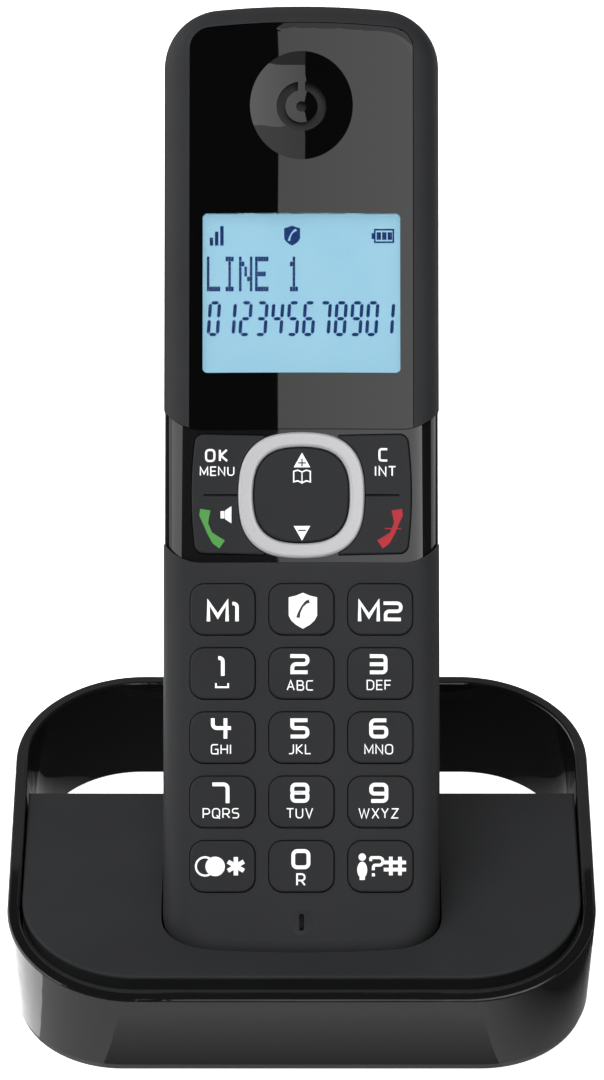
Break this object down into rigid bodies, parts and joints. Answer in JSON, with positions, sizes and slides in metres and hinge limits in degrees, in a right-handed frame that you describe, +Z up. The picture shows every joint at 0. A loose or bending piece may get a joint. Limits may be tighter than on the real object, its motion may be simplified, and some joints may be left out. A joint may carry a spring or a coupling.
{
  "type": "cordless phone with base",
  "caption": "Cordless telephone handset leaning back in a charging base whose glossy wall runs round as an open loop behind it; keypad, navigation ring and backlit display.",
  "frame": {"origin": "on the surface that the base stands on, under the middle of the bounding box of base and seated handset", "axes": "+Z up, +Y from the front of the base towards its rear loop, +X to the right as seen from the front"},
  "size_m": [0.1002, 0.131, 0.1359],
  "materials": {
    "black_plastic": "fine matte texture",
    "key_plastic": "satin",
    "lens_black": "polished",
    "clear_window": "polished",
    "gloss_black": "polished",
    "satin_silver": "satin",
    "silicone": "matt",
    "steel": "brushed",
    "board_green": "solder mask",
    "lcd_glass": "polished",
    "white_plastic": "satin",
    "dark_metal": "woven",
    "tin": "satin",
    "cell_wrap": "shrink film",
    "gold": "plated",
    "rubber_grey": "matt",
    "socket_plastic": "satin"
  },
  "bodies": {
    "base": {"base_band": "gloss_black", "cradle_platform": "black_plastic", "base_bottom_cover": "black_plastic", "rubber_feet": "rubber_grey", "base_screws": "steel", "power_socket": "socket_plastic", "line_socket": "socket_plastic", "base_circuit_board": "board_green", "base_radio_shield": "tin", "base_antenna": "tin", "page_switch": "socket_plastic", "contact_carrier": "socket_plastic"},
    "handset": {"handset_front_housing": "black_plastic", "display_lens": "lens_black", "display_window": "clear_window", "waist_fascia": "gloss_black", "nav_ring": "satin_silver", "handset_back_shell": "black_plastic", "keypad_mat": "silicone", "snap_domes": "steel", "handset_circuit_board": "board_green", "lcd_panel": "lcd_glass", "lcd_backlight": "white_plastic", "earpiece_mesh": "dark_metal", "earpiece_receiver": "steel", "microphone_capsule": "dark_metal", "loudspeaker": "steel", "radio_shield": "tin", "battery_cell_left": "cell_wrap", "battery_cell_right": "cell_wrap", "battery_contacts": "steel", "handset_screws": "steel", "handset_charge_pads": "gold"},
    "battery_door": {"battery_door": "black_plastic"},
    "nav_key": {"nav_key": "key_plastic"},
    "left_rocker_key": {"left_rocker_key": "key_plastic"},
    "right_rocker_key": {"right_rocker_key": "key_plastic"},
    "page_button": {"page_button": "key_plastic"},
    "charge_pin_left": {"charge_pin_left": "gold"},
    "charge_pin_right": {"charge_pin_right": "gold"},
    "key_0": {"key_0": "key_plastic"},
    "key_1": {"key_1": "key_plastic"},
    "key_2": {"key_2": "key_plastic"},
    "key_3": {"key_3": "key_plastic"},
    "key_4": {"key_4": "key_plastic"},
    "key_5": {"key_5": "key_plastic"},
    "key_6": {"key_6": "key_plastic"},
    "key_7": {"key_7": "key_plastic"},
    "key_8": {"key_8": "key_plastic"},
    "key_9": {"key_9": "key_plastic"},
    "key_block": {"key_block": "key_plastic"},
    "key_hash": {"key_hash": "key_plastic"},
    "key_m1": {"key_m1": "key_plastic"},
    "key_m2": {"key_m2": "key_plastic"},
    "key_star": {"key_star": "key_plastic"}
  },
  "joints": [
    {"name": "handset_lift", "type": "slide", "parent": "base", "child": "handset", "axis": [0, 0.6691, 0.7431], "range_m": [0, 0.08]},
    {"name": "battery_door_off", "type": "slide", "parent": "handset", "child": "battery_door", "axis": [0, 0.7431, -0.6691], "range_m": [0, 0.012]},
    {"name": "key_0_press", "type": "slide", "parent": "handset", "child": "key_0", "axis": [0, 0.7431, -0.6691], "range_m": [0, 0.0007], "stiffness_N_per_m": 1500},
    {"name": "key_1_press", "type": "slide", "parent": "handset", "child": "key_1", "axis": [0, 0.7431, -0.6691], "range_m": [0, 0.0007], "stiffness_N_per_m": 1500},
    {"name": "key_2_press", "type": "slide", "parent": "handset", "child": "key_2", "axis": [0, 0.7431, -0.6691], "range_m": [0, 0.0007], "stiffness_N_per_m": 1500},
    {"name": "key_3_press", "type": "slide", "parent": "handset", "child": "key_3", "axis": [0, 0.7431, -0.6691], "range_m": [0, 0.0007], "stiffness_N_per_m": 1500},
    {"name": "key_4_press", "type": "slide", "parent": "handset", "child": "key_4", "axis": [0, 0.7431, -0.6691], "range_m": [0, 0.0007], "stiffness_N_per_m": 1500},
    {"name": "key_5_press", "type": "slide", "parent": "handset", "child": "key_5", "axis": [0, 0.7431, -0.6691], "range_m": [0, 0.0007], "stiffness_N_per_m": 1500},
    {"name": "key_6_press", "type": "slide", "parent": "handset", "child": "key_6", "axis": [0, 0.7431, -0.6691], "range_m": [0, 0.0007], "stiffness_N_per_m": 1500},
    {"name": "key_7_press", "type": "slide", "parent": "handset", "child": "key_7", "axis": [0, 0.7431, -0.6691], "range_m": [0, 0.0007], "stiffness_N_per_m": 1500},
    {"name": "key_8_press", "type": "slide", "parent": "handset", "child": "key_8", "axis": [0, 0.7431, -0.6691], "range_m": [0, 0.0007], "stiffness_N_per_m": 1500},
    {"name": "key_9_press", "type": "slide", "parent": "handset", "child": "key_9", "axis": [0, 0.7431, -0.6691], "range_m": [0, 0.0007], "stiffness_N_per_m": 1500},
    {"name": "key_block_press", "type": "slide", "parent": "handset", "child": "key_block", "axis": [0, 0.7431, -0.6691], "range_m": [0, 0.0007], "stiffness_N_per_m": 1500},
    {"name": "key_hash_press", "type": "slide", "parent": "handset", "child": "key_hash", "axis": [0, 0.7431, -0.6691], "range_m": [0, 0.0007], "stiffness_N_per_m": 1500},
    {"name": "key_m1_press", "type": "slide", "parent": "handset", "child": "key_m1", "axis": [0, 0.7431, -0.6691], "range_m": [0, 0.0007], "stiffness_N_per_m": 1500},
    {"name": "key_m2_press", "type": "slide", "parent": "handset", "child": "key_m2", "axis": [0, 0.7431, -0.6691], "range_m": [0, 0.0007], "stiffness_N_per_m": 1500},
    {"name": "key_star_press", "type": "slide", "parent": "handset", "child": "key_star", "axis": [0, 0.7431, -0.6691], "range_m": [0, 0.0007], "stiffness_N_per_m": 1500},
    {"name": "nav_key_rock", "type": "hinge", "parent": "handset", "child": "nav_key", "pos_m": [0, -0.002, 0.07467], "axis": [1, 0, 0], "range_deg": [-2.5, 2.5], "stiffness_Nm_per_rad": 0.2},
    {"name": "left_rocker_key_rock", "type": "hinge", "parent": "handset", "child": "left_rocker_key", "pos_m": [-0.0145, -0.00167, 0.07437], "axis": [1, 0, 0], "range_deg": [-1.5, 1.5], "stiffness_Nm_per_rad": 0.2},
    {"name": "right_rocker_key_rock", "type": "hinge", "parent": "handset", "child": "right_rocker_key", "pos_m": [0.0145, -0.00167, 0.07437], "axis": [1, 0, 0], "range_deg": [-1.5, 1.5], "stiffness_Nm_per_rad": 0.2},
    {"name": "page_button_press", "type": "slide", "parent": "base", "child": "page_button", "axis": [0, -1, 0], "range_m": [0, 0.0009], "stiffness_N_per_m": 1200},
    {"name": "charge_pin_left_press", "type": "slide", "parent": "base", "child": "charge_pin_left", "axis": [0, -0.6691, -0.7431], "range_m": [0, 0.001], "stiffness_N_per_m": 500},
    {"name": "charge_pin_right_press", "type": "slide", "parent": "base", "child": "charge_pin_right", "axis": [0, -0.6691, -0.7431], "range_m": [0, 0.001], "stiffness_N_per_m": 500}
  ]
}
